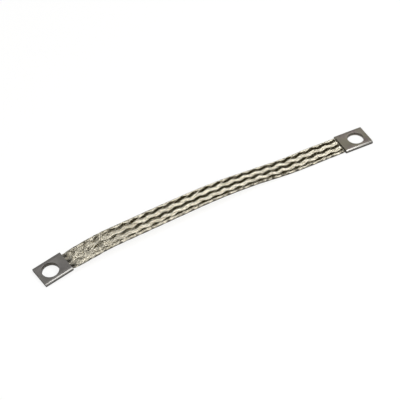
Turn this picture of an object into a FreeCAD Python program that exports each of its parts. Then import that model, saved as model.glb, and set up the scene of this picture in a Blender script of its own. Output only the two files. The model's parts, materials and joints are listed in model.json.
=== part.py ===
"""Flat woven grounding braid with a pressed sleeve on each end. All sizes in millimetres.

The strap runs along +X, rests on both sleeves at Z = 0 and is centred on the origin.
"""
import FreeCAD, Part

import math
import os

import Sketcher

Vector = FreeCAD.Vector

# Driving sizes, copied to the sheet under the same names
SIZES = {
    "sleeve_length": 16.4,
    "sleeve_width": 13.5,
    "sleeve_thickness": 2.3,
    "sleeve_wall": 0.55,
    "sleeve_edge_chamfer": 0.15,
    "bolt_hole_diameter": 9.0,
    "bolt_hole_setback": 6.8,
    "bolt_hole_chamfer": 0.2,
    "press_gap": 0.04,
    "braid_end_recess": 0.3,
    "braid_mouth_recess": 0.6,
    "braid_mouth_gap": 0.8,
    "braid_width": 11.6,
    "braid_thickness": 2.2,
    "braid_core_inset": 0.1,
    "spread_length": 6.0,
    "left_roll_degrees": 2.5,
    "left_roll_length": 40.0,
    "weave_pitch": 7.3,
    "carrier_count": 24,
    "ridge_height": 0.22,
    "pressed_ridge_height": 0.1,
}

# Centre line of the free braid from mouth to mouth: along, across, and height over the lying sleeve's middle
ROUTE = [
    (-83.75, 0.54, 2.953),
    (-73.95, 0.94, 4.623),
    (-62.25, 0.79, 5.35),
    (-42.41, 0.97, 5.5),
    (-18.33, 1.38, 5.44),
    (5.86, 1.74, 5.08),
    (27.87, 1.75, 3.04),
    (49.85, 1.47, 0.22),
    (67.85, 1.2, 0),
    (83.6, 0.21, 0),
]
TANGENT_SHARE = 0.45

# Rows of the weave over which the strands straighten as they gather inside a sleeve
GATHER_ROWS = 4

doc = FreeCAD.newDocument("grounding_braid")
sheet = doc.addObject("Spreadsheet::Sheet", "Sizes")
for row, (name, value) in enumerate(SIZES.items(), start=1):
    sheet.set(f"A{row}", name)
    sheet.set(f"B{row}", str(value))
    sheet.setAlias(f"B{row}", name)
doc.recompute()


def size(name):
    """One driving size, as the sheet holds it."""
    return float(sheet.get(name))


def route_edges():
    """The centre line as straight runs joined by tangent arcs, each as large as its two runs allow."""
    lift = size("sleeve_thickness") / 2
    points = [Vector(x, y, z + lift) for x, y, z in ROUTE]
    edges, start = [], points[0]
    for before, corner, after in zip(points, points[1:], points[2:]):
        back, ahead = before - corner, after - corner
        reach = TANGENT_SHARE * min(back.Length, ahead.Length)
        back.normalize()
        ahead.normalize()
        half_turn = (math.pi - back.getAngle(ahead)) / 2
        radius = reach / math.tan(half_turn)
        inward = (back + ahead).normalize()
        middle = corner + inward * (radius / math.cos(half_turn) - radius)
        arc_start, arc_end = corner + back * reach, corner + ahead * reach
        edges.append(Part.LineSegment(start, arc_start).toShape())
        edges.append(Part.Arc(arc_start, middle, arc_end).toShape())
        start = arc_end
        print(f"route turn {math.degrees(2 * half_turn):.1f} degrees, radius {radius:.0f} mm")
    edges.append(Part.LineSegment(start, points[-1]).toShape())
    return edges


EDGES = route_edges()
ROUTE_LENGTH = sum(edge.Length for edge in EDGES)
print(f"free braid {ROUTE_LENGTH:.1f} mm, overall {ROUTE_LENGTH + 2 * size('sleeve_length'):.1f} mm")


def centre_line(along):
    """Point and direction of the centre line, straight on past both mouths."""
    edge, rest = EDGES[0], along
    for edge in EDGES:
        if rest <= edge.Length or edge is EDGES[-1]:
            break
        rest -= edge.Length
    inside = min(max(rest, 0.0), edge.Length)
    parameter = edge.getParameterByLength(inside)
    direction = edge.tangentAt(parameter).normalize()
    return edge.valueAt(parameter) + direction * (rest - inside), direction


def smooth(share):
    """Ease from 0 to 1."""
    share = min(max(share, 0.0), 1.0)
    return share * share * (3 - 2 * share)


def strap_frame(along):
    """Origin, direction, far side and upper side of the strap at a place on its centre line.

    The left end is rolled a little towards the near side, and the roll eases out along the braid.
    """
    origin, direction = centre_line(along)
    level = Vector(0, 0, 1).cross(direction).normalize()
    roll = math.radians(size("left_roll_degrees")) * (1 - smooth(along / size("left_roll_length")))
    far = level * math.cos(roll) + direction.cross(level) * math.sin(roll)
    return origin, direction, far, direction.cross(far)


def sleeve_placement(along, inward_sign):
    """Place a sleeve so that its X axis runs from its outer end at `along` towards the braid."""
    origin, direction, far, up = strap_frame(along)
    axis = direction * inward_sign
    rotation = FreeCAD.Rotation(axis, far * inward_sign, up, "ZXY")
    return FreeCAD.Placement(origin, rotation)


def origin_plane(body, role):
    """One of a body's own origin planes."""
    return next(item for item in body.Origin.OriginFeatures if item.Role == role)


def slot_sketch(body, name, width, thickness):
    """Round-ended slot across the strap; its width and thickness are sheet expressions."""
    sketch = body.newObject("Sketcher::SketchObject", name)
    sketch.AttachmentSupport = (origin_plane(body, "YZ_Plane"), [""])
    sketch.MapMode = "FlatFace"
    flat, radius = 5.0, 1.0
    normal = Vector(0, 0, 1)
    quarter = math.pi / 2
    top = sketch.addGeometry(Part.LineSegment(Vector(-flat, radius, 0), Vector(flat, radius, 0)))
    far_circle = Part.Circle(Vector(flat, 0, 0), normal, radius)
    far_end = sketch.addGeometry(Part.ArcOfCircle(far_circle, -quarter, quarter))
    base = sketch.addGeometry(Part.LineSegment(Vector(flat, -radius, 0), Vector(-flat, -radius, 0)))
    near_circle = Part.Circle(Vector(-flat, 0, 0), normal, radius)
    near_end = sketch.addGeometry(Part.ArcOfCircle(near_circle, quarter, 3 * quarter))
    start, end, centre, origin = 1, 2, 3, -1
    sketch.addConstraint(Sketcher.Constraint("Tangent", top, end, far_end, end))
    sketch.addConstraint(Sketcher.Constraint("Tangent", far_end, start, base, start))
    sketch.addConstraint(Sketcher.Constraint("Tangent", base, end, near_end, end))
    sketch.addConstraint(Sketcher.Constraint("Tangent", near_end, start, top, start))
    sketch.addConstraint(Sketcher.Constraint("Horizontal", top))
    sketch.addConstraint(Sketcher.Constraint("Equal", far_end, near_end))
    sketch.addConstraint(Sketcher.Constraint("Symmetric", far_end, centre, near_end, centre, origin, 1))
    radius_at = sketch.addConstraint(Sketcher.Constraint("Radius", far_end, radius))
    flat_at = sketch.addConstraint(
        Sketcher.Constraint("DistanceX", near_end, centre, far_end, centre, 2 * flat)
    )
    sketch.setExpression(f"Constraints[{radius_at}]", f"({thickness}) / 2")
    sketch.setExpression(f"Constraints[{flat_at}]", f"({width}) - ({thickness})")
    return sketch


def hole_sketch(body):
    """Bolt hole circle, set back from the sleeve's outer end."""
    sketch = body.newObject("Sketcher::SketchObject", "BoltHole")
    sketch.AttachmentSupport = (origin_plane(body, "XY_Plane"), [""])
    sketch.MapMode = "FlatFace"
    circle = sketch.addGeometry(Part.Circle(Vector(6, 0, 0), Vector(0, 0, 1), 4))
    centre, origin, x_axis = 3, -1, -1
    sketch.addConstraint(Sketcher.Constraint("PointOnObject", circle, centre, x_axis))
    wide_at = sketch.addConstraint(Sketcher.Constraint("Diameter", circle, 8))
    set_at = sketch.addConstraint(Sketcher.Constraint("DistanceX", origin, 1, circle, centre, 6))
    sketch.setExpression(f"Constraints[{wide_at}]", "Sizes.bolt_hole_diameter")
    sketch.setExpression(f"Constraints[{set_at}]", "Sizes.bolt_hole_setback")
    return sketch


def pocket_through(body, name, sketch):
    """Cut a sketch right through the body, both ways."""
    pocket = body.newObject("PartDesign::Pocket", name)
    pocket.Profile = sketch
    pocket.Type = "ThroughAll"
    pocket.SideType = "Symmetric"
    return pocket


def break_edges(body, name, edge_names, amount):
    """Chamfer the named edges of the body's tip; the size is a sheet expression."""
    base = body.Tip
    chamfer = body.newObject("PartDesign::Chamfer", name)
    chamfer.Base = (base, edge_names)
    chamfer.setExpression("Size", amount)


def picked(shape, wanted):
    """Names of the edges that a test accepts."""
    return [f"Edge{i}" for i, edge in enumerate(shape.Edges, start=1) if wanted(edge)]


def sleeve(label, placement):
    """Pressed tube sleeve: a flattened tube with a bolt hole punched through both walls."""
    body = doc.addObject("PartDesign::Body", label)
    body.Label = label
    tube = body.newObject("PartDesign::Pad", "Tube")
    tube.Profile = slot_sketch(body, "TubeOutline", "Sizes.sleeve_width", "Sizes.sleeve_thickness")
    tube.setExpression("Length", "Sizes.sleeve_length")
    inner = slot_sketch(
        body,
        "TubeInside",
        "Sizes.sleeve_width - 2 * Sizes.sleeve_wall",
        "Sizes.sleeve_thickness - 2 * Sizes.sleeve_wall",
    )
    pocket_through(body, "Hollow", inner)
    pocket_through(body, "Punched", hole_sketch(body))
    doc.recompute()
    half = size("sleeve_thickness") / 2

    def hole_rim(edge):
        box = edge.BoundBox
        round_rim = isinstance(edge.Curve, Part.Circle) and box.ZLength < 1e-6
        return round_rim and abs(abs(box.ZMin) - half) < 1e-6

    def outer_end(edge):
        box = edge.BoundBox
        outside = max(abs(box.ZMin), abs(box.ZMax)) > half - 1e-6
        return box.XLength < 1e-6 and outside

    break_edges(body, "HoleRims", picked(body.Tip.Shape, hole_rim), "Sizes.bolt_hole_chamfer")
    doc.recompute()
    break_edges(body, "EndRims", picked(body.Tip.Shape, outer_end), "Sizes.sleeve_edge_chamfer")
    body.Placement = placement
    return body


def pressed_end(name, placement):
    """Compacted end of the braid that fills a sleeve."""
    body = doc.addObject("PartDesign::Body", name)
    inside = "Sizes.sleeve_{} - 2 * Sizes.sleeve_wall - 2 * Sizes.press_gap"
    outline = slot_sketch(body, "EndOutline", inside.format("width"), inside.format("thickness"))
    outline.setExpression("AttachmentOffset.Base.z", "Sizes.braid_end_recess")
    slab = body.newObject("PartDesign::Pad", "Slab")
    slab.Profile = outline
    slab.setExpression(
        "Length", "Sizes.sleeve_length - Sizes.braid_end_recess - Sizes.braid_mouth_recess"
    )
    body.Placement = placement
    return body


def bolt_way(name, placement):
    """Cylinder that clears the bolt hole through a pressed end."""
    tool = doc.addObject("Part::Cylinder", name)
    tool.setExpression("Radius", "Sizes.bolt_hole_diameter / 2")
    tool.setExpression("Height", "2 * Sizes.sleeve_thickness")
    local = FreeCAD.Placement(
        Vector(size("bolt_hole_setback"), 0, -size("sleeve_thickness")), FreeCAD.Rotation()
    )
    tool.Placement = placement.multiply(local)
    return tool


def section(along):
    """Half width, half thickness and ridge height of the woven part, held in at the mouths, full beyond."""
    grown = smooth(min(along, ROUTE_LENGTH - along) / size("spread_length"))
    slab_half = size("sleeve_thickness") / 2 - size("sleeve_wall") - size("press_gap")
    pressed = slab_half - size("braid_core_inset")
    crest = pressed + grown * (size("braid_thickness") / 2 - pressed)
    pressed_ridge = size("pressed_ridge_height")
    ridge = pressed_ridge + grown * (size("ridge_height") - pressed_ridge)
    held_in = size("sleeve_width") / 2 - size("sleeve_wall") - size("braid_mouth_gap")
    half_width = held_in + grown * (size("braid_width") / 2 - held_in)
    return half_width - ridge, crest - ridge, ridge


def around_slot(share, half_width, half_thickness):
    """Place and outward direction on a slot outline, from the far edge over the top and back below."""
    flat = half_width - half_thickness
    corner = math.pi * half_thickness / 2
    quarter = corner + flat
    travel = (share % 1.0) * 4 * quarter
    turn, step = divmod(travel, 2 * quarter)
    sign = 1 if turn == 0 else -1
    if step < corner:
        angle = step / half_thickness
        centre = flat
    elif step < corner + 2 * flat:
        angle = math.pi / 2
        centre = flat - (step - corner)
    else:
        angle = math.pi / 2 + (step - corner - 2 * flat) / half_thickness
        centre = -flat
    out = (sign * math.cos(angle), sign * math.sin(angle))
    return (sign * centre + half_thickness * out[0], half_thickness * out[1]), out


def braid_point(along, share, lift):
    """Point of the woven surface: a place along, a share of the way round, and a share of the ridge."""
    half_width, half_thickness, ridge = section(along)
    (across, above), out = around_slot(share, half_width, half_thickness)
    origin, _, far, up = strap_frame(along)
    return origin + far * (across + ridge * lift * out[0]) + up * (above + ridge * lift * out[1])


def curve_poles(first, middle, last):
    """Poles of the quadratic curve through three points."""
    return [first, middle * 2 - (first + last) * 0.5, last]


def quadratic_patch(points):
    """Face through a three by three grid of points."""
    rows = [curve_poles(*row) for row in points]
    columns = [curve_poles(*column) for column in zip(*rows)]
    patch = Part.BezierSurface()
    patch.increase(2, 2)
    for i, column in enumerate(columns, start=1):
        for j, pole in enumerate(column, start=1):
            patch.setPole(i, j, pole)
    return patch.toShape()


def woven_faces():
    """Herringbone skin: columns of slanting floats, each float two patches that meet on its crest."""
    columns = int(size("carrier_count")) // 2
    reach = size("sleeve_length") - size("braid_end_recess") - 2 * size("braid_mouth_recess")
    length = ROUTE_LENGTH + 2 * reach
    rows = round(length / (size("weave_pitch") / 2))
    row_step = length / rows

    def line_place(line, row):
        slanted = min(1.0, row / GATHER_ROWS, (rows - row) / GATHER_ROWS)
        lead = 1 if line % 2 else -1
        return row * row_step - reach + lead * slanted * row_step

    def float_point(column, row, rise, over):
        lower = line_place(column, row) * (1 - rise) + line_place(column, row + 1) * rise
        upper = line_place(column + 1, row) * (1 - rise) + line_place(column + 1, row + 1) * rise
        along = lower * (1 - over) + upper * over
        across = rise / 2 if (row + column) % 2 == 1 else (1 + rise) / 2
        lift = 16 * across * (1 - across) * over * (1 - over)
        return braid_point(along, (column - 0.5 + over) / columns, lift)

    def cell(column, row, over_start, over_end):
        overs = (over_start, (over_start + over_end) / 2, over_end)
        return quadratic_patch(
            [[float_point(column, row, rise, over) for rise in (0, 0.5, 1)] for over in overs]
        )

    faces = []
    for column in range(columns):
        at_edge = column % (columns // 2) == 0
        spans = [(0, 0.5), (0.5, 1)] if at_edge else [(0, 1)]
        for row in range(rows):
            faces += [cell(column, row, *span) for span in spans]
    return faces


def open_rims(shell):
    """Free edges of a shell, sorted into closed wires."""
    uses = {}
    for face in shell.Faces:
        for edge in face.Edges:
            uses.setdefault(edge.hashCode(), []).append(edge)
    free = [edges[0] for edges in uses.values() if len(edges) == 1]
    return [Part.Wire(edges) for edges in Part.sortEdges(free)]


def woven_solid():
    """The woven skin closed by a flat cap at each end."""
    skin = Part.Compound(woven_faces())
    skin.sewShape()
    shell = skin.Shells[0]
    caps = [Part.Face(rim) for rim in open_rims(shell)]
    closed = Part.Compound(shell.Faces + caps)
    closed.sewShape()
    solid = Part.Solid(closed.Shells[0])
    if solid.Volume < 0:
        solid.reverse()
    return solid


def braid(left_at, right_at):
    """Woven strap and its two pressed ends as one piece, with both bolt holes cut through."""
    woven = doc.addObject("Part::Feature", "Woven")
    woven.Shape = woven_solid()
    whole = doc.addObject("Part::MultiFuse", "WovenWithEnds")
    whole.Shapes = [woven, pressed_end("LeftEnd", left_at), pressed_end("RightEnd", right_at)]
    ways = doc.addObject("Part::MultiFuse", "BoltWays")
    ways.Shapes = [bolt_way("LeftBoltWay", left_at), bolt_way("RightBoltWay", right_at)]
    cut = doc.addObject("Part::Cut", "braid")
    cut.Label = "braid"
    cut.Base = whole
    cut.Tool = ways
    return cut


def checked(item):
    """Stop if a sub-part failed to build."""
    if item.Shape.isNull() or not item.Shape.isValid() or not item.Shape.Solids:
        raise RuntimeError(f"{item.Label} has no valid solid")
    return item


left_at = sleeve_placement(-size("sleeve_length"), 1)
right_at = sleeve_placement(ROUTE_LENGTH + size("sleeve_length"), -1)
PARTS = [
    sleeve("left_ferrule", left_at),
    sleeve("right_ferrule", right_at),
    braid(left_at, right_at),
]
doc.recompute()
for item in doc.Objects:
    if {"Invalid", "Error"} & set(item.State):
        raise RuntimeError(f"{item.Label} failed: {item.State}")
os.makedirs("parts", exist_ok=True)
for item in map(checked, PARTS):
    item.Shape.exportStep(f"parts/{item.Label}.step")
    print(f"{item.Label}: {len(item.Shape.Solids)} solid, {item.Shape.Volume:.1f} mm3")
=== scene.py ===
"""Looks of a flat woven grounding braid with a pressed sleeve on each end. All lengths are in metres.

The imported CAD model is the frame. The braid is woven here wire by wire along the same route, and the
sleeves and the compacted ends inside them are finer copies of their solids.
"""

import json
import math

import bmesh
import bpy
import numpy as np
from mathutils import Matrix, Vector


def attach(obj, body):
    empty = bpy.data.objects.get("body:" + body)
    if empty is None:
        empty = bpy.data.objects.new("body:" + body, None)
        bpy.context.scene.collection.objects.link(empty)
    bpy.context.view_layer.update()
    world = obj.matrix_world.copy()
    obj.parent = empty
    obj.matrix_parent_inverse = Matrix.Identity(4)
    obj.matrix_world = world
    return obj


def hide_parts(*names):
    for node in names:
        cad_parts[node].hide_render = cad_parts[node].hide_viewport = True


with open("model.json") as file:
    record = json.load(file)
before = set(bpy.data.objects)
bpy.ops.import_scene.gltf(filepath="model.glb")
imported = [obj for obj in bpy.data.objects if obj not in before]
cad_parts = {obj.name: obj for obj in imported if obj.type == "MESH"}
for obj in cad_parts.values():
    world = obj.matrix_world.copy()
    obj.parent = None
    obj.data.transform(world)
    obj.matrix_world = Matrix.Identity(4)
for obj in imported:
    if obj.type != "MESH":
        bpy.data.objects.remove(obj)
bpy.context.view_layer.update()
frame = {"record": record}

MM = 0.001

# Centre line of the free braid from mouth to mouth, the same points as in the CAD source
ROUTE = [
    (-0.08375, 0.00054, 0.004103),
    (-0.07395, 0.00094, 0.005773),
    (-0.06225, 0.00079, 0.0065),
    (-0.04241, 0.00097, 0.00665),
    (-0.01833, 0.00138, 0.00659),
    (0.00586, 0.00174, 0.00623),
    (0.02787, 0.00175, 0.00419),
    (0.04985, 0.00147, 0.00137),
    (0.06785, 0.00120, 0.00115),
    (0.0836, 0.00021, 0.00115),
]
ROUTE_ORDER = 3
ROUTE_STEPS = 32

# Sleeves, and the braid's ends pressed flat inside them
SLEEVE_LENGTH = 16.4 * MM
SLEEVE_WIDTH = 13.5 * MM
SLEEVE_THICKNESS = 2.3 * MM
SLEEVE_WALL = 0.55 * MM
BOLT_HOLE_SETBACK = 6.8 * MM
PRESS_GAP = 0.04 * MM
END_RECESS = 0.3 * MM
MOUTH_RECESS = 0.6 * MM

# Rounded lips of the sleeves and rims of the holes, and how finely round shapes are drawn
LIP_ROUND = 0.12 * MM
LIP_STEPS = 4
HOLE_ROUND = 0.08 * MM
PRESSED_HOLE_ROUND = 0.04 * MM
HOLE_SEGMENTS = 96
RIM_SEGMENTS = 3
RIM_ANGLE = math.radians(50)
SHARP_ANGLE = math.radians(38)
EDGE_STEPS = 14
FACE_STEPS = 16

# Painted highlight and painted shade round a sleeve's long edges, in degrees from the upper face round to the
# lower one
HIGHLIGHT_START = 6.0
HIGHLIGHT_END = 53.0
HIGHLIGHT_FADE = 16.0
LOW_SHADE_END = 160.0
LOW_SHADE_FADE = 20.0
FAR_SHADE_START = 12.0
FAR_SHADE_FADE = 20.0
FAR_EDGE_SHADE = 0.6

# Which way the far side lies on each sleeve's own Y axis
FAR_SIDE = {"left": 1, "right": -1}

# Darker end faces of the sleeves, and painted shade on the walls of their holes, deeper on the left sleeve
END_DARKENING = 0.75
HOLE_WALL_SHADE = {"left": 1.0, "right": 0.45}
HOLE_WALL_REACH = 0.03 * MM
HOLE_WALL_TILT = 0.3

# Plating of the sleeves: its stains, a painted highlight band on the near edges, painted shade on the edges
# and hole walls, and darker end faces
# The left sleeve's tints are kept darker than the right's, as painted shade against the stronger light it
# gets
SLEEVE_TINTS = {
    "left": [(0.39, 0.375, 0.35), (0.42, 0.405, 0.39), (0.40, 0.38, 0.375)],
    "right": [(0.535, 0.46, 0.455), (0.55, 0.508, 0.437), (0.55, 0.52, 0.41)],
}
TINT_STOPS = (0.34, 0.5, 0.66)
# Painted highlight band on the near edges, lighter on the right sleeve
HIGHLIGHT_TONES = {"left": (0.52, 0.51, 0.49), "right": (0.72, 0.705, 0.67)}
SLEEVE_SHADE_TONE = (0.10, 0.094, 0.085)
HOLE_WALL_SHADE_TONE = (0.012, 0.011, 0.009)
SLEEVE_ROUGHNESS = (0.55, 0.65)
HIGHLIGHT_BAND_ROUGHNESS = 0.4
SLEEVE_RELIEF = 0.12

# Wires, clean and dull, their painted shade and darkening, and their crushed ends, coloured near black as
# painted shade
WIRE_TONES = [(0.0, (0.765, 0.72, 0.6)), (1.0, (0.845, 0.805, 0.69))]
DULL_WIRE_TONE = (0.60, 0.54, 0.40)
DULL_MOST = 0.45
DULL_STAINS = (0.45, 0.75)
WIRE_SHADE_TONE = (0.05, 0.045, 0.034)
WIRE_ROUGHNESS = (0.14, 0.19)
# Crushed ends coloured near black, painted shade where they show in the holes
CRUSHED_SHADE_TONES = [(0.35, (0.03, 0.027, 0.022)), (0.65, (0.16, 0.145, 0.12))]
CRUSHED_ROUGHNESS = 0.45
CRUSHED_RELIEF = 0.6
RELIEF_DEPTH = 0.05 * MM

# Noise of the surfaces, in waves a metre, and the range that most of its values fill
WIRE_STAIN_WAVES = 170
WIRE_SHEEN_WAVES = 900
GROOVE_WAVES = 500
PLATE_STAIN_WAVES = 150
PLATE_SHEEN_WAVES = 420
PLATE_GRAIN_WAVES = 2600
NOISE_LOW = 0.3
NOISE_HIGH = 0.7

# Section of the free braid, and what its half width gains at distances from the left mouth
BRAID_WIDTH = 11.6 * MM
BRAID_THICKNESS = 2.2 * MM
WIDTH_MARKS = np.array([0.0, 20.0, 55.0, 95.0, 112.0, 148.0, 168.0]) * MM
WIDTH_EXTRA = np.array([0.0, 0.28, 0.33, 0.0, -0.26, 0.18, 0.0]) * MM

# How the braid is held in the sleeves' mouths and swells out of them
MOUTH_GAP = 0.8 * MM
CORE_INSET = 0.1 * MM
TUCK_LENGTH = 1.2 * MM
LEFT_SPREAD = 4.0 * MM
RIGHT_SPREAD = 1.1 * MM
PRESSED_RISE = 0.5

# Lean of the left end to the near side, and its roll
LEFT_LEAN = 0.75 * MM
LEAN_START = -2.5 * MM
LEAN_GROWTH = 5.0 * MM
LEAN_UNTIL = 9.0 * MM
LEAN_FADE = 17.0 * MM
LEFT_ROLL = math.radians(2.5)
LEFT_ROLL_LENGTH = 40.0 * MM

# Weave: strands of both hands, each of them a ribbon of wires that floats over two and dips under two
HAND_NAMES = {1: "right", -1: "left"}
FLOAT_CENTRE = {1: 0.5, -1: 2.5}
STRANDS_EACH_HAND = 12
WIRES_PER_STRAND = 13
WEAVE_PITCH = 7.3 * MM
STRAND_FILL = 0.92
FLOAT_RISE = 0.09 * MM
FLOAT_SQUARENESS = 2.0
STRAND_CROWN = 0.035 * MM
WIRE_RADIUS = 0.085 * MM
WIRE_SIDES = 5
STATION_STEP = 0.85 * MM
MOUTH_STEP = 0.35 * MM
STRIP_MARGIN = 0.1
SEED_STEP = 100

# Where the weave lies: along the strap, and round it in columns, with an extra twist at the left
WEAVE_SHIFT = -3.0 * MM
WEAVE_TURN = 0.35
LEFT_TWIST = 0.14
TWIST_UNTIL = 52.0 * MM
TWIST_FADE = 18.0 * MM

# Pairs of columns gathered at the left mouth, with furrows between the pairs
BUNDLE_LENGTH = 3.6 * MM
BUNDLE_GATHER = 0.65
BUNDLE_DEPTH = 0.26 * MM
BUNDLE_GAP_COLUMN = 1.15

# Drift of the wires, sideways in columns and up or down, with more of it near the left mouth
WIRE_WANDER = 0.013
STRAND_WANDER = 0.02
WIRE_LIFT = 0.004 * MM
STRAND_LIFT = 0.006 * MM
WANDER_WAVES = 3
WANDER_TURNS = (4, 22)
UNEVEN_EXTRA = 3.8
UNEVEN_UNTIL = 10.0 * MM
UNEVEN_FADE = 32.0 * MM

# Painted shade under the braid's edges, from a wavy line on their round down to the underside
LOWER_EDGE_SHADE = 0.86
SHADE_LINE = 0.45
SHADE_BLUR = 0.4
SHADE_CREEP = 0.3
CREEP_WAVES = (3.1 * MM, 4.7 * MM)
UNDERSIDE = 0.8
UNDERSIDE_BLUR = 0.2

# Braid's left end: painted shade on its far edge, and darkening in line with the furrows and all over
LEFT_EDGE_SHADE = 0.38
LEFT_EDGE_LINE = 0.2
LEFT_EDGE_BLUR = 0.5
LEFT_EDGE_LENGTH = 24.0 * MM
FURROW_DARKENING = 0.18
FURROW_DARKENING_LENGTH = 15.0 * MM
LEFT_DARKENING = 0.09
LEFT_DARKENING_LENGTH = 75.0 * MM

# Camera, from the sleeves' corners in the photograph
CAMERA_AZIMUTH = -32.539
CAMERA_ELEVATION = 44.461
CAMERA_DISTANCE = 1.03726
CAMERA_LENS_MM = 180.0
CAMERA_SENSOR_MM = 36.0
CAMERA_CLIP = 0.01
AIM_RIGHT = -0.004274
AIM_UP = 0.002756

# Floor: its reach from the middle, its own tone and the glow that lifts it to white
FLOOR_REACH = 3.0
FLOOR_TONE = 0.3
FLOOR_ROUGHNESS = 0.9
FLOOR_GLOW = 0.81

# Lamps that face down: name, place, width, depth and radiance
SOFTBOXES = [
    ("overhead", (0.2285, -0.57, 1.3), 0.888, 1.24, 3.05),
    ("front_strip", (0.455, -1.225, 0.7), 0.49, 1.05, 1.1),
]

# The studio room's own dim tone
ROOM_TONE = (0.025, 0.021, 0.008)

# Its pale walls: direction, the cosines from it where a wall starts and is full, and brightness
PALE_WALLS = [
    ((-1.0, 0.0, 0.0), 0.05, 0.35, 0.4),
    ((-0.8, -0.6, 0.0), 0.35, 0.9, 0.9),
    ((0.975, 0.22, 0.0), 0.77, 0.89, 1.0),
]


def smooth(share):
    """Ease from 0 to 1."""
    share = np.clip(share, 0.0, 1.0)
    return share * share * (3 - 2 * share)


def unit(vectors):
    """Vectors of length 1, along the last axis."""
    return vectors / np.linalg.norm(vectors, axis=-1, keepdims=True)


def new_object(name, data):
    """Object put in the scene."""
    item = bpy.data.objects.new(name, data)
    bpy.context.scene.collection.objects.link(item)
    return item


def mesh_data(name, mesh):
    """Mesh data from an edit mesh, which is freed."""
    data = bpy.data.meshes.new(name)
    mesh.to_mesh(data)
    mesh.free()
    return data


def route_points():
    """Points read from the route's smooth spline."""
    curve = bpy.data.curves.new("route", "CURVE")
    curve.dimensions = "3D"
    curve.resolution_u = ROUTE_STEPS
    spline = curve.splines.new("NURBS")
    spline.points.add(len(ROUTE) - 1)
    for point, place in zip(spline.points, ROUTE):
        point.co = (*place, 1.0)
    spline.order_u = ROUTE_ORDER
    spline.use_endpoint_u = True
    line = new_object("route", curve)
    bpy.context.view_layer.update()
    mesh = bpy.data.meshes.new_from_object(line)
    points = np.array([vertex.co[:] for vertex in mesh.vertices])
    bpy.data.objects.remove(line)
    bpy.data.curves.remove(curve)
    bpy.data.meshes.remove(mesh)
    return points


class Route:
    """The braid's centre line, read by distance from its left mouth, and straight past both mouths."""

    def __init__(self, points):
        self.points = points
        steps = np.linalg.norm(np.diff(points, axis=0), axis=1)
        self.marks = np.concatenate([[0.0], np.cumsum(steps)])
        self.length = self.marks[-1]
        self.directions = unit(np.gradient(points, self.marks, axis=0))

    def read(self, values, along):
        """Values that are known at the marks, at any distance between them."""
        return np.stack([np.interp(along, self.marks, values[:, axis]) for axis in range(3)], axis=-1)

    def frame(self, along):
        """Place, far side and upper side of the strap at each distance, with its left end rolled a little."""
        inside = np.clip(along, 0.0, self.length)
        direction = unit(self.read(self.directions, inside))
        place = self.read(self.points, inside) + direction * (along - inside)[..., None]
        level = unit(np.cross((0.0, 0.0, 1.0), direction))
        roll = (LEFT_ROLL * (1 - smooth(along / LEFT_ROLL_LENGTH)))[..., None]
        far = level * np.cos(roll) + np.cross(direction, level) * np.sin(roll)
        return place, far, np.cross(direction, far)


def around_slot(share, half_width, half_thickness):
    """Place and outward direction on a slot outline, from the far edge over the top and back below."""
    flat = half_width - half_thickness
    corner = math.pi * half_thickness / 2
    half_turn = 2 * (corner + flat)
    travel = (share % 1.0) * 2 * half_turn
    below = travel >= half_turn
    step = np.where(below, travel - half_turn, travel)
    sign = np.where(below, -1.0, 1.0)
    first = step / half_thickness
    last = math.pi / 2 + (step - corner - 2 * flat) / half_thickness
    angle = np.where(step < corner, first, np.where(step < corner + 2 * flat, math.pi / 2, last))
    centre = np.clip(flat - (step - corner), -flat, flat)
    out = np.stack([sign * np.cos(angle), sign * np.sin(angle)], axis=-1)
    place = out * half_thickness[..., None]
    place[..., 0] += sign * centre
    return place, out


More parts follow.
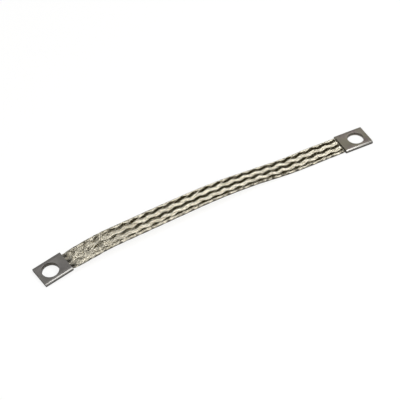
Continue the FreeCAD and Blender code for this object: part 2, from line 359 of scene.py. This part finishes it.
class Weave:
    """Two-over-two flat tubular weave on the route.

    It is worked out at stations along the strap. There, grown goes from 0 in a sleeve to 1 in the full
    braid, bundled is 1 at the left mouth, wider adds to the half width, lean and turned move the wires
    across and round the strap, and uneven is the strength of their drift.
    """

    def __init__(self, route):
        self.route = route
        reach = SLEEVE_LENGTH - END_RECESS - 2 * MOUTH_RECESS
        whole = route.length + 2 * reach
        rows = round(whole / (WEAVE_PITCH / 2))
        self.pitch = 2 * whole / rows
        self.start = {1: WEAVE_SHIFT - reach + self.pitch / 2, -1: WEAVE_SHIFT - reach}
        pinch = route.length - 2 * RIGHT_SPREAD
        body = np.arange(-TUCK_LENGTH, pinch, STATION_STEP)
        self.along = np.concatenate([body, np.arange(pinch, route.length + TUCK_LENGTH, MOUTH_STEP)])
        self.grown = smooth(self.along / LEFT_SPREAD) * smooth((route.length - self.along) / RIGHT_SPREAD)
        self.bundled = 1 - smooth(self.along / BUNDLE_LENGTH)
        self.wider = np.interp(self.along, WIDTH_MARKS, WIDTH_EXTRA)
        leaning = smooth((self.along - LEAN_START) / LEAN_GROWTH)
        self.lean = LEFT_LEAN * leaning * (1 - smooth((self.along - LEAN_UNTIL) / LEAN_FADE))
        self.turned = WEAVE_TURN + LEFT_TWIST * (1 - smooth((self.along - TWIST_UNTIL) / TWIST_FADE))
        self.uneven = 1 + UNEVEN_EXTRA * (1 - smooth((self.along - UNEVEN_UNTIL) / UNEVEN_FADE))

    def wire_offsets(self, rng):
        """Each wire's place across its strand, drifting along the strap and even."""
        even = (np.arange(WIRES_PER_STRAND) + 0.5) / WIRES_PER_STRAND - 0.5
        return STRAND_FILL * even[:, None] + self.wander(rng, WIRES_PER_STRAND, WIRE_WANDER), even

    def wander(self, rng, count, amount):
        """Slow seeded drift along the strap, one row for each wire, stronger near the left mouth."""
        turns = rng.uniform(*WANDER_TURNS, (count, WANDER_WAVES, 1))
        phase = rng.uniform(0, 2 * math.pi, (count, WANDER_WAVES, 1))
        share = self.along[None, None, :] / self.route.length
        return amount * self.uneven * np.sin(2 * math.pi * turns * share + phase).sum(axis=1)

    def strand(self, hand, number, rng):
        """Centre lines of a strand's wires, with the outward direction and the painted shade and darkening at
        each point.
        """
        offsets, even = self.wire_offsets(rng)
        offsets = offsets + self.wander(rng, 1, STRAND_WANDER)
        turns = {side: (self.along - self.start[side]) / self.pitch for side in HAND_NAMES}
        column = number + offsets + hand * turns[hand]
        crossing = column + hand * turns[-hand]
        wave = np.cos(math.pi / 2 * (crossing + number - FLOAT_CENTRE[hand]))
        rise = np.tanh(FLOAT_SQUARENESS * wave) / math.tanh(FLOAT_SQUARENESS)
        return self.place(column + self.turned, rise, even, rng)

    def place(self, column, rise, even, rng):
        """Points on the strap for each wire's column and its rise over the other hand.

        At the left mouth the columns are gathered in pairs, with a furrow between the pairs.
        """
        furrow = math.pi * (column - BUNDLE_GAP_COLUMN)
        share = (column + self.bundled * BUNDLE_GATHER / math.pi * np.sin(furrow)) / STRANDS_EACH_HAND
        pressed = SLEEVE_THICKNESS / 2 - SLEEVE_WALL - PRESS_GAP - CORE_INSET
        held_in = SLEEVE_WIDTH / 2 - SLEEVE_WALL - MOUTH_GAP
        crest = pressed + self.grown * (BRAID_THICKNESS / 2 - pressed)
        edge = held_in + self.grown * (BRAID_WIDTH / 2 + self.wider - held_in)
        full = PRESSED_RISE + (1 - PRESSED_RISE) * self.grown
        proud = full * (FLOAT_RISE + STRAND_CROWN) + WIRE_RADIUS
        half_thickness = np.broadcast_to(crest - proud, share.shape)
        half_width = np.broadcast_to(edge - proud, share.shape)
        crown = STRAND_CROWN * (1 - (2 * even[:, None]) ** 2)
        lift = rise * full * (FLOAT_RISE + crown)
        lift = lift + self.wander(rng, len(even), WIRE_LIFT) + self.wander(rng, 1, STRAND_LIFT)
        lift = lift - self.bundled * BUNDLE_DEPTH * (0.5 + 0.5 * np.cos(furrow))
        local, out = around_slot(share, half_width, half_thickness)
        local = local + out * lift[..., None]
        middle, far, up = self.route.frame(self.along)
        points = middle + far * (local[..., :1] - self.lean[:, None]) + up * local[..., 1:]
        return points, far * out[..., :1] + up * out[..., 1:], self.shade_and_darkening(furrow, out)

    def shade_and_darkening(self, furrow, out):
        """Painted shade on the wires under the edges, in the left mouth's furrows and on the far edge near
        it, and darkening along the furrows and the left end.

        Where it lies on an edge depends on how far the surface faces up, down or to the far side.
        """
        far = out[..., 0]
        up = out[..., 1]
        waves = [np.sin(2 * math.pi * self.along / wave + phase) for phase, wave in enumerate(CREEP_WAVES)]
        line = SHADE_LINE + SHADE_CREEP * sum(waves)
        # Painted shade under the edges
        lower_edge = smooth((line - up) / SHADE_BLUR) * (1 - smooth((-up - UNDERSIDE) / UNDERSIDE_BLUR))
        near_mouth = 1 - smooth(self.along / LEFT_EDGE_LENGTH)
        # Painted shade on the far edge near the left mouth
        far_edge = smooth((far - LEFT_EDGE_LINE) / LEFT_EDGE_BLUR) * near_mouth
        # Darkening in line with the furrows, and all over the left end
        stain = FURROW_DARKENING * (1 - smooth(self.along / FURROW_DARKENING_LENGTH)) * np.cos(furrow / 2) ** 2
        left_darkening = LEFT_DARKENING * (1 - smooth(self.along / LEFT_DARKENING_LENGTH))
        marks = np.maximum(LOWER_EDGE_SHADE * lower_edge, LEFT_EDGE_SHADE * far_edge)
        # Painted shade in the left mouth's furrows
        marks = np.maximum(marks, smooth(2 * self.bundled) * np.cos(furrow / 2) ** 4)
        return np.maximum(marks, np.maximum(stain, left_darkening))


def tube_vertices(lines, outs):
    """Rings of points round each line: wires by stations by sides."""
    ahead = unit(np.gradient(lines, axis=1))
    side = unit(np.cross(ahead, outs))
    out = np.cross(side, ahead)
    angles = 2 * math.pi * np.arange(WIRE_SIDES) / WIRE_SIDES
    ring = np.cos(angles)[:, None] * out[:, :, None, :] + np.sin(angles)[:, None] * side[:, :, None, :]
    return lines[:, :, None, :] + WIRE_RADIUS * ring


def tube_faces(wires, stations):
    """Quads of each wire's wall and a cap at each of its ends."""
    index = np.arange(wires * stations * WIRE_SIDES).reshape(wires, stations, WIRE_SIDES)
    turned = np.roll(index, -1, axis=2)
    quads = np.stack([index[:, :-1], turned[:, :-1], turned[:, 1:], index[:, 1:]], axis=-1).reshape(-1, 4)
    caps = [list(ring[::-1]) for ring in index[:, 0]] + [list(ring) for ring in index[:, -1]]
    return quads.tolist() + caps


def unroll(mesh, wires, stations):
    """Texture map with one straight strip for each wire."""
    layer = mesh.uv_layers.new(name="OFBake")
    wire, station, side = np.meshgrid(
        np.arange(wires), np.arange(stations - 1), np.arange(WIRE_SIDES), indexing="ij"
    )
    corners = [(0, 0), (0, 1), (1, 1), (1, 0)]
    along = np.stack([(station + step) / (stations - 1) for step, _ in corners], axis=-1)
    strip = 1 - 2 * STRIP_MARGIN
    rounds = [STRIP_MARGIN + strip * (side + turn) / WIRE_SIDES for _, turn in corners]
    across = np.stack([(wire + part) / wires for part in rounds], axis=-1)
    walls = np.stack([along, across], axis=-1).reshape(-1, 2)
    middles = (np.arange(wires) + 0.5) / wires
    caps = np.repeat(np.stack([np.zeros(wires), middles], axis=-1), WIRE_SIDES, axis=0)
    ends = caps + np.array([1.0, 0.0])
    layer.data.foreach_set("uv", np.concatenate([walls, caps, ends]).ravel())


def add_piece(name, mesh, material):
    """Put a mesh in the scene as a piece of the object."""
    piece = new_object(name, mesh)
    mesh.materials.clear()
    mesh.materials.append(material)
    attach(piece, "root")
    return piece


def strand_piece(weave, hand, number, material):
    """One strand: a flat ribbon of parallel wires."""
    rng = np.random.default_rng(SEED_STEP * (hand + 2) + number)
    lines, outs, shade_and_darkening = weave.strand(hand, number, rng)
    wires, stations = lines.shape[:2]
    name = f"strand_{HAND_NAMES[hand]}_{number + 1:02d}"
    mesh = bpy.data.meshes.new(name)
    mesh.from_pydata(tube_vertices(lines, outs).reshape(-1, 3).tolist(), [], tube_faces(wires, stations))
    unroll(mesh, wires, stations)
    tone = mesh.attributes.new("tone", "FLOAT", "POINT")
    tone.data.foreach_set("value", np.repeat(rng.uniform(0, 1, wires), stations * WIRE_SIDES))
    # Painted shade and darkening at each point
    stain = mesh.attributes.new("shade_and_darkening", "FLOAT", "POINT")
    stain.data.foreach_set("value", np.repeat(shade_and_darkening.ravel(), WIRE_SIDES))
    mesh.polygons.foreach_set("use_smooth", [True] * len(mesh.polygons))
    piece = add_piece(name, mesh, material)
    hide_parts("braid")
    return piece


def mount(name):
    """One of the record's mounts."""
    return next(item for item in frame["record"]["mounts"] if item["name"] == name)


def sleeve_frame(side):
    """Matrix from a sleeve's own axes to the object's, and its hole's radius.

    The sleeve's X runs inward from the middle of its outer end, and its Z is up.
    """
    hole = mount(f"{side}_bolt_hole")
    centre = Vector(hole["pos_m"])
    up = Vector(hole["axis"]).normalized()
    inward = Vector(mount(f"{side}_contact_face")["pos_m"]) - centre
    inward = (inward - up * inward.dot(up)).normalized()
    across = up.cross(inward)
    matrix = Matrix((inward, across, up)).transposed().to_4x4()
    matrix.translation = centre - inward * BOLT_HOLE_SETBACK
    return matrix, hole["dims"]["r_mm"] * MM


def slot_ring(width, thickness):
    """Points of a slot outline across the sleeve."""
    radius = thickness / 2
    flat = width / 2 - radius
    points = []
    for sign in (1, -1):
        for step in range(EDGE_STEPS):
            angle = -math.pi / 2 + math.pi * step / EDGE_STEPS
            points.append((sign * (flat + radius * math.cos(angle)), sign * radius * math.sin(angle)))
        for step in range(FACE_STEPS):
            points.append((sign * (flat - 2 * flat * step / FACE_STEPS), sign * radius))
    return points


def lofted(stations, closed):
    """Mesh through slot rings, closed back on itself or capped.

    Each ring is given as its distance along the sleeve, its width and its thickness.
    """
    mesh = bmesh.new()
    rings = []
    for along, width, thickness in stations:
        rings.append([mesh.verts.new((along, y, z)) for y, z in slot_ring(width, thickness)])
    pairs = list(zip(rings, rings[1:]))
    if closed:
        pairs.append((rings[-1], rings[0]))
    for first, second in pairs:
        for i in range(len(first)):
            j = (i + 1) % len(first)
            mesh.faces.new((first[i], second[i], second[j], first[j]))
    if not closed:
        mesh.faces.new(rings[0])
        mesh.faces.new(reversed(rings[-1]))
    bmesh.ops.recalc_face_normals(mesh, faces=mesh.faces)
    return mesh


def lip_stations(along, direction):
    """Rounded lip of the tube wall at one end, from its outside to its inside."""
    turns = [math.pi / 2 * step / LIP_STEPS for step in range(LIP_STEPS + 1)]
    outside = (SLEEVE_WIDTH, SLEEVE_THICKNESS, -2, turns)
    inside = (SLEEVE_WIDTH - 2 * SLEEVE_WALL, SLEEVE_THICKNESS - 2 * SLEEVE_WALL, 2, turns[::-1])
    stations = []
    for width, thickness, growth, angles in (outside, inside):
        for angle in angles:
            back = LIP_ROUND * (1 - math.sin(angle))
            inset = LIP_ROUND * (1 - math.cos(angle))
            stations.append((along - direction * back, width + growth * inset, thickness + growth * inset))
    return stations


def punch_object(radius):
    """Round punch through the place of the bolt hole."""
    mesh = bmesh.new()
    bmesh.ops.create_cone(
        mesh, cap_ends=True, segments=HOLE_SEGMENTS, radius1=radius, radius2=radius,
        depth=4 * SLEEVE_THICKNESS, matrix=Matrix.Translation((BOLT_HOLE_SETBACK, 0, 0)),
    )
    return new_object("punch", mesh_data("punch", mesh))


def punched(mesh, name, radius, edge_round):
    """The mesh with the bolt hole cut through it and the hole's rims rounded."""
    body = new_object(name, mesh_data(name, mesh))
    punch = punch_object(radius)
    cut = body.modifiers.new("hole", "BOOLEAN")
    cut.operation = "DIFFERENCE"
    cut.solver = "EXACT"
    cut.object = punch
    rim = body.modifiers.new("rim", "BEVEL")
    rim.width = edge_round
    rim.segments = RIM_SEGMENTS
    rim.limit_method = "ANGLE"
    rim.angle_limit = RIM_ANGLE
    bpy.context.view_layer.update()
    result = bpy.data.meshes.new_from_object(body.evaluated_get(bpy.context.evaluated_depsgraph_get()))
    result.name = name
    for item in (body, punch):
        bpy.data.objects.remove(item)
    return result


def mark_hole_wall_shade(data, radius, amount):
    """Mark the hole's wall for painted shade."""
    marks = []
    for face in data.polygons:
        out = math.hypot(face.center.x - BOLT_HOLE_SETBACK, face.center.y)
        on_wall = abs(out - radius) < HOLE_WALL_REACH and abs(face.normal.z) < HOLE_WALL_TILT
        marks.append(amount if on_wall else 0.0)
    layer = data.attributes.new("hole_wall_shade", "FLOAT", "FACE")
    layer.data.foreach_set("value", marks)


def mark_edge_light_and_shade(data, far_side):
    """Mark the edges: a painted highlight band over the near one's upper round with painted shade below it,
    painted shade on the far one, and darker end faces.
    """
    points = np.array([vertex.co[:] for vertex in data.vertices])
    beyond = np.abs(points[:, 1]) - (SLEEVE_WIDTH - SLEEVE_THICKNESS) / 2
    turned = np.degrees(np.arctan2(np.maximum(beyond, 0.0), points[:, 2]))
    turned = np.where(beyond > 0, turned, 0.0)
    # Painted shade from the band's end down round the lower edge
    below = smooth((turned - HIGHLIGHT_END) / HIGHLIGHT_FADE)
    # Painted highlight band over the near edge's upper round
    highlight_band = smooth((turned - HIGHLIGHT_START) / HIGHLIGHT_FADE) * (1 - below)
    edge_shade = below * (1 - smooth((turned - LOW_SHADE_END) / LOW_SHADE_FADE))
    far = far_side * points[:, 1] > 0
    highlight_band = np.where(far, 0.0, highlight_band)
    # Painted shade on the far edge
    far_shade = FAR_EDGE_SHADE * smooth((turned - FAR_SHADE_START) / FAR_SHADE_FADE)
    edge_shade = np.maximum(edge_shade, np.where(far, far_shade, 0.0))
    inside = np.minimum(points[:, 0], SLEEVE_LENGTH - points[:, 0])
    # End faces made darker
    edge_shade = np.maximum(edge_shade, END_DARKENING * (inside < LIP_ROUND / 2))
    for name, values in (("highlight_band", highlight_band), ("shade_and_darkening", edge_shade)):
        data.attributes.new(name, "FLOAT", "POINT").data.foreach_set("value", values)


def finish_mesh(data, matrix):
    """Place a sleeve's mesh and smooth its round surfaces."""
    data.transform(matrix)
    data.polygons.foreach_set("use_smooth", [True] * len(data.polygons))
    data.set_sharp_from_angle(angle=SHARP_ANGLE)
    data.update()
    return data


def sleeve_piece(side, material):
    """Tube pressed flat, with rounded lips and a punched hole."""
    matrix, radius = sleeve_frame(side)
    stations = lip_stations(SLEEVE_LENGTH, 1) + lip_stations(0.0, -1)[::-1]
    mesh = punched(lofted(stations, True), f"{side}_sleeve", radius, HOLE_ROUND)
    mark_hole_wall_shade(mesh, radius, HOLE_WALL_SHADE[side])
    mark_edge_light_and_shade(mesh, FAR_SIDE[side])
    piece = add_piece(f"{side}_sleeve", finish_mesh(mesh, matrix), material)
    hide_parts(f"{side}_ferrule")


def pressed_end_piece(side, material):
    """Wires crushed solid inside a sleeve, with the hole through them."""
    matrix, radius = sleeve_frame(side)
    width = SLEEVE_WIDTH - 2 * SLEEVE_WALL - 2 * PRESS_GAP
    thickness = SLEEVE_THICKNESS - 2 * SLEEVE_WALL - 2 * PRESS_GAP
    stations = [(END_RECESS, width, thickness), (SLEEVE_LENGTH - MOUTH_RECESS, width, thickness)]
    mesh = punched(lofted(stations, False), f"{side}_pressed_end", radius, PRESSED_HOLE_ROUND)
    piece = add_piece(f"{side}_pressed_end", finish_mesh(mesh, matrix), material)
    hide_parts("braid")


def new_material(name):
    """Material with its node tree and shader."""
    material = bpy.data.materials.new(name)
    material.use_nodes = True
    return material, material.node_tree, material.node_tree.nodes["Principled BSDF"]


def noise_node(tree, scale, detail, stretch=(1, 1, 1)):
    """Noise in object space, with its scale in waves a metre and an optional stretch."""
    place = tree.nodes.new("ShaderNodeTexCoord")
    mapping = tree.nodes.new("ShaderNodeMapping")
    mapping.inputs["Scale"].default_value = stretch
    noise = tree.nodes.new("ShaderNodeTexNoise")
    noise.inputs["Scale"].default_value = scale
    noise.inputs["Detail"].default_value = detail
    tree.links.new(place.outputs["Object"], mapping.inputs["Vector"])
    tree.links.new(mapping.outputs["Vector"], noise.inputs["Vector"])
    return noise.outputs["Fac"]


def ramp_node(tree, source, stops):
    """Colours along a value."""
    ramp = tree.nodes.new("ShaderNodeValToRGB")
    elements = ramp.color_ramp.elements
    while len(elements) < len(stops):
        elements.new(0.5)
    for element, (position, colour) in zip(elements, stops):
        element.position = position
        element.color = (*colour, 1.0)
    tree.links.new(source, ramp.inputs["Fac"])
    return ramp.outputs["Color"]


def attribute_node(tree, name):
    """A value stored in the mesh."""
    reader = tree.nodes.new("ShaderNodeAttribute")
    reader.attribute_name = name
    return reader.outputs["Fac"]


def range_node(tree, source, low, high, from_low=NOISE_LOW, from_high=NOISE_HIGH):
    """A value stretched to a range."""
    spread = tree.nodes.new("ShaderNodeMapRange")
    spread.inputs["From Min"].default_value = from_low
    spread.inputs["From Max"].default_value = from_high
    spread.inputs["To Min"].default_value = low
    spread.inputs["To Max"].default_value = high
    tree.links.new(source, spread.inputs["Value"])
    return spread.outputs["Result"]


def blend_node(tree, share, first, second, kind="RGBA"):
    """Two colours or values mixed by a value."""
    mix = tree.nodes.new("ShaderNodeMix")
    mix.data_type = kind
    for name, source in {"Factor": share, "A": first, "B": second}.items():
        socket = mix.inputs[name]
        if isinstance(source, bpy.types.NodeSocket):
            tree.links.new(source, socket)
        else:
            socket.default_value = source
    return mix.outputs["Result"]


def add_relief(tree, shader, height, strength):
    """Fine bumps from a value."""
    bump = tree.nodes.new("ShaderNodeBump")
    bump.inputs["Strength"].default_value = strength
    bump.inputs["Distance"].default_value = RELIEF_DEPTH
    tree.links.new(height, bump.inputs["Height"])
    tree.links.new(bump.outputs["Normal"], shader.inputs["Normal"])


def wire_material():
    """Bright drawn tin over copper, slightly uneven from wire to wire, with painted shade and darkening read
    from the mesh.
    """
    material, tree, shader = new_material("tinned_wire")
    stain = noise_node(tree, WIRE_STAIN_WAVES, detail=3)
    clean = ramp_node(tree, attribute_node(tree, "tone"), WIRE_TONES)
    dull = range_node(tree, stain, 0.0, DULL_MOST, *DULL_STAINS)
    colour = blend_node(tree, dull, clean, (*DULL_WIRE_TONE, 1.0))
    # Painted shade and darkening
    colour = blend_node(tree, attribute_node(tree, "shade_and_darkening"), colour, (*WIRE_SHADE_TONE, 1.0))
    tree.links.new(colour, shader.inputs["Base Color"])
    sheen = noise_node(tree, WIRE_SHEEN_WAVES, detail=2)
    tree.links.new(range_node(tree, sheen, *WIRE_ROUGHNESS), shader.inputs["Roughness"])
    shader.inputs["Metallic"].default_value = 1.0
    return material


def pressed_wire_material():
    """Crushed wire ends in a sleeve, grooved along the wires, coloured near black as painted shade."""
    material, tree, shader = new_material("pressed_wire")
    grooves = noise_node(tree, GROOVE_WAVES, detail=2, stretch=(1, 9, 9))
    tree.links.new(ramp_node(tree, grooves, CRUSHED_SHADE_TONES), shader.inputs["Base Color"])
    add_relief(tree, shader, grooves, CRUSHED_RELIEF)
    shader.inputs["Metallic"].default_value = 1.0
    shader.inputs["Roughness"].default_value = CRUSHED_ROUGHNESS
    return material


def sleeve_material(side, tints):
    """Satin tin plate, faintly stained, with a painted highlight band on its near edge, painted shade on its
    other edges and hole wall, and darker end faces.
    """
    material, tree, shader = new_material(f"{side}_sleeve_plate")
    stain = noise_node(tree, PLATE_STAIN_WAVES, detail=3)
    colour = ramp_node(tree, stain, list(zip(TINT_STOPS, tints)))
    highlight_band = attribute_node(tree, "highlight_band")
    # Painted highlight band on the near edge
    colour = blend_node(tree, highlight_band, colour, (*HIGHLIGHT_TONES[side], 1.0))
    # Painted shade on the edges, and darker end faces
    colour = blend_node(tree, attribute_node(tree, "shade_and_darkening"), colour, (*SLEEVE_SHADE_TONE, 1.0))
    # Painted shade on the hole's wall
    colour = blend_node(tree, attribute_node(tree, "hole_wall_shade"), colour, (*HOLE_WALL_SHADE_TONE, 1.0))
    tree.links.new(colour, shader.inputs["Base Color"])
    sheen = noise_node(tree, PLATE_SHEEN_WAVES, detail=4, stretch=(1, 7, 7))
    dull = range_node(tree, sheen, *SLEEVE_ROUGHNESS)
    tree.links.new(blend_node(tree, highlight_band, dull, HIGHLIGHT_BAND_ROUGHNESS, "FLOAT"), shader.inputs["Roughness"])
    add_relief(tree, shader, noise_node(tree, PLATE_GRAIN_WAVES, detail=3), SLEEVE_RELIEF)
    shader.inputs["Metallic"].default_value = 1.0
    return material


def floor_material():
    """Pale floor that shows white where nothing shades it."""
    material, tree, shader = new_material("pale_floor")
    shader.inputs["Base Color"].default_value = (FLOOR_TONE, FLOOR_TONE, FLOOR_TONE, 1.0)
    shader.inputs["Roughness"].default_value = FLOOR_ROUGHNESS
    shader.inputs["Specular IOR Level"].default_value = 0.0
    path = tree.nodes.new("ShaderNodeLightPath")
    seen = path.outputs["Is Camera Ray"]
    for ray in ("Is Glossy Ray", "Is Transmission Ray"):
        either = tree.nodes.new("ShaderNodeMath")
        either.operation = "MAXIMUM"
        tree.links.new(seen, either.inputs[0])
        tree.links.new(path.outputs[ray], either.inputs[1])
        seen = either.outputs["Value"]
    glow = tree.nodes.new("ShaderNodeMath")
    glow.operation = "MULTIPLY"
    glow.inputs[1].default_value = FLOOR_GLOW
    tree.links.new(seen, glow.inputs[0])
    shader.inputs["Emission Color"].default_value = (1.0, 1.0, 1.0, 1.0)
    tree.links.new(glow.outputs["Value"], shader.inputs["Emission Strength"])
    return material


def add_floor():
    """Plain floor under the strap."""
    mesh = bmesh.new()
    bmesh.ops.create_grid(mesh, x_segments=1, y_segments=1, size=FLOOR_REACH)
    data = mesh_data("floor", mesh)
    data.materials.append(floor_material())
    floor = new_object("floor", data)


def add_softbox(name, place, width, depth, radiance):
    """Rectangular lamp that faces down, of a given brightness."""
    lamp = bpy.data.lights.new(name, "AREA")
    lamp.shape = "RECTANGLE"
    lamp.size = width
    lamp.size_y = depth
    lamp.energy = radiance * math.pi * width * depth
    holder = new_object(name, lamp)
    holder.location = place


def add_world():
    """Dim room with broad pale walls."""
    world = bpy.data.worlds.new("surroundings")
    world.use_nodes = True
    tree = world.node_tree
    backdrop = tree.nodes["Background"]
    place = tree.nodes.new("ShaderNodeTexCoord")
    colour = (*ROOM_TONE, 1.0)
    for direction, outer, inner, brightness in PALE_WALLS:
        towards = tree.nodes.new("ShaderNodeVectorMath")
        towards.operation = "DOT_PRODUCT"
        towards.inputs[1].default_value = direction
        tree.links.new(place.outputs["Generated"], towards.inputs[0])
        on_wall = range_node(tree, towards.outputs["Value"], 0.0, 1.0, outer, inner)
        colour = blend_node(tree, on_wall, colour, (brightness, brightness, brightness, 1.0))
    tree.links.new(colour, backdrop.inputs["Color"])
    backdrop.inputs["Strength"].default_value = 1.0
    bpy.context.scene.world = world


def add_camera():
    """Camera at the photograph's viewing angle."""
    azimuth = math.radians(CAMERA_AZIMUTH)
    elevation = math.radians(CAMERA_ELEVATION)
    level = math.cos(elevation)
    back = Vector((math.sin(azimuth) * level, -math.cos(azimuth) * level, math.sin(elevation)))
    right = Vector((math.cos(azimuth), math.sin(azimuth), 0.0))
    place = back * CAMERA_DISTANCE
    aim = right * AIM_RIGHT + back.cross(right) * AIM_UP
    data = bpy.data.cameras.new("camera")
    data.lens = CAMERA_LENS_MM
    data.sensor_width = CAMERA_SENSOR_MM
    data.clip_start = CAMERA_CLIP
    camera = new_object("camera", data)
    camera.location = place
    camera.rotation_euler = (aim - place).to_track_quat("-Z", "Y").to_euler()
    bpy.context.scene.camera = camera


def add_braid():
    """All strands of the braid, as one cord."""
    route = Route(route_points())
    weave = Weave(route)
    wire = wire_material()
    for hand in HAND_NAMES:
        for number in range(STRANDS_EACH_HAND):
            strand_piece(weave, hand, number, wire)


def build():
    """The whole object and its studio."""
    add_braid()
    crushed = pressed_wire_material()
    for side, tints in SLEEVE_TINTS.items():
        sleeve_piece(side, sleeve_material(side, tints))
        pressed_end_piece(side, crushed)
    add_floor()
    add_world()
    for softbox in SOFTBOXES:
        add_softbox(*softbox)
    add_camera()
    bpy.context.scene.view_settings.view_transform = "Standard"


build()
